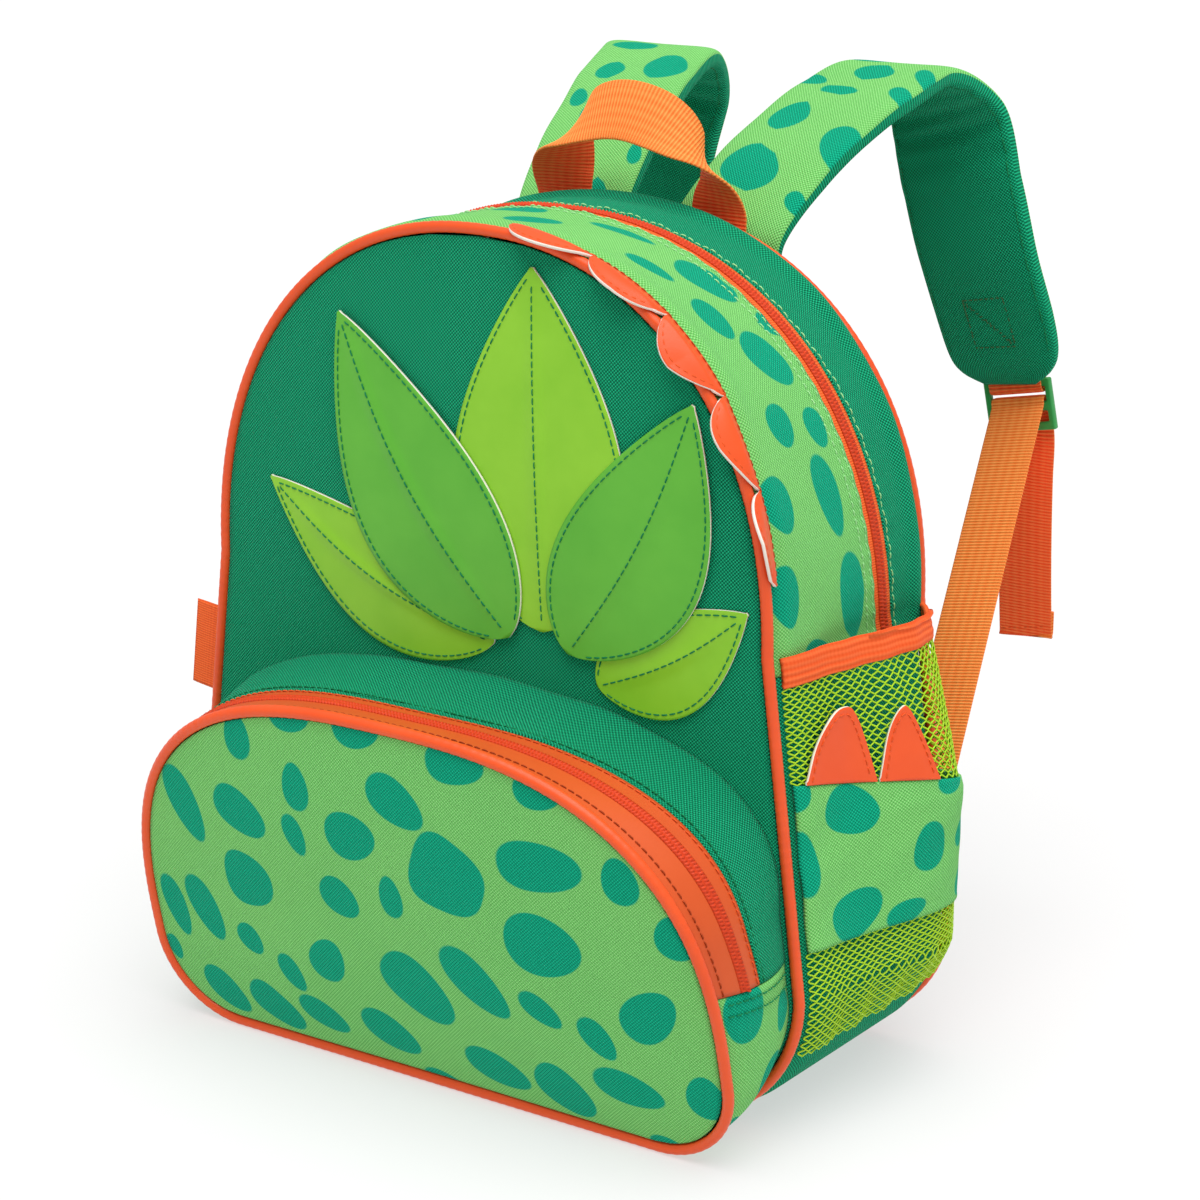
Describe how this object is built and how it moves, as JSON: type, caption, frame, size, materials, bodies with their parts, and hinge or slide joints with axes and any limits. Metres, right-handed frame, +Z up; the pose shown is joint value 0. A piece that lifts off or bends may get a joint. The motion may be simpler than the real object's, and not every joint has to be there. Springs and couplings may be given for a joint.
{
  "type": "child's backpack",
  "caption": "Small arched backpack with a wrap-round zip, a bulging zipped front pocket, net side pockets, a webbing grab handle and padded shoulder straps.",
  "frame": {"origin": "middle of the flat base, on the surface that the bag stands on", "axes": "+Z up, the front pocket faces -Y and the shoulder straps +Y, +X is the right-hand side seen from the front"},
  "size_m": [0.3314, 0.3414, 0.3763],
  "materials": {
    "green_twill": "matte woven polyester twill, dark green",
    "spot_print": "matte woven polyester, light green printed with teal spots",
    "orange_vinyl": "semi-gloss coated vinyl, orange",
    "lime_vinyl": "semi-gloss coated vinyl, lime green",
    "orange_webbing": "ribbed polyester webbing, orange",
    "ribbed_elastic": "ribbed elastic binding, orange",
    "lime_net": "knitted diamond net, lime yellow",
    "zip_tape": "woven zip tape and nylon coil, orange",
    "green_plastic": "moulded acetal, mid green",
    "dark_metal": "dark plated zinc casting"
  },
  "bodies": {
    "bag": {"front_panel": "green_twill", "back_panel": "green_twill", "front_piping": "orange_vinyl", "rear_piping": "orange_vinyl", "gusset_front_band": "spot_print", "main_zip_tape": "zip_tape", "main_zip_coil": "zip_tape", "gusset_rear_band": "green_twill", "base_gusset": "green_twill", "main_zip_slider": "dark_metal", "scalloped_trim": "orange_vinyl", "leaf_low_left": "lime_vinyl", "leaf_upper_left": "lime_vinyl", "leaf_top": "lime_vinyl", "leaf_upper_right": "lime_vinyl", "leaf_low_right": "lime_vinyl", "pocket_face": "spot_print", "pocket_piping": "orange_vinyl", "pocket_top_gusset": "green_twill", "pocket_zip_band": "orange_vinyl", "pocket_zip_coil": "zip_tape", "pocket_lower_gusset": "spot_print", "side_binding_right": "ribbed_elastic", "side_net_upper_right": "lime_net", "side_band_right": "spot_print", "side_net_lower_right": "lime_net", "side_tab_front_right": "orange_vinyl", "side_tab_rear_right": "orange_vinyl", "side_binding_left": "ribbed_elastic", "side_net_upper_left": "lime_net", "side_band_left": "spot_print", "side_net_lower_left": "lime_net", "side_tab_front_left": "orange_vinyl", "side_tab_rear_left": "orange_vinyl", "handle": "orange_webbing", "strap_right": "spot_print", "strap_left": "spot_print", "lock_loop_right": "orange_webbing", "ladder_lock_right": "green_plastic", "adjuster_right": "orange_webbing", "lock_loop_left": "orange_webbing", "ladder_lock_left": "green_plastic", "adjuster_left": "orange_webbing", "seam_tab": "orange_vinyl", "pocket_zip_slider": "dark_metal"},
    "zip_pull": {"pocket_zip_pull": "dark_metal"}
  },
  "joints": [
    {"name": "zip_pull_swing", "type": "hinge", "parent": "bag", "child": "zip_pull", "pos_m": [-0.14357, -0.08557, 0.0769], "axis": [0.0247, 0.989, 0.1462], "range_deg": [0, 150]}
  ]
}
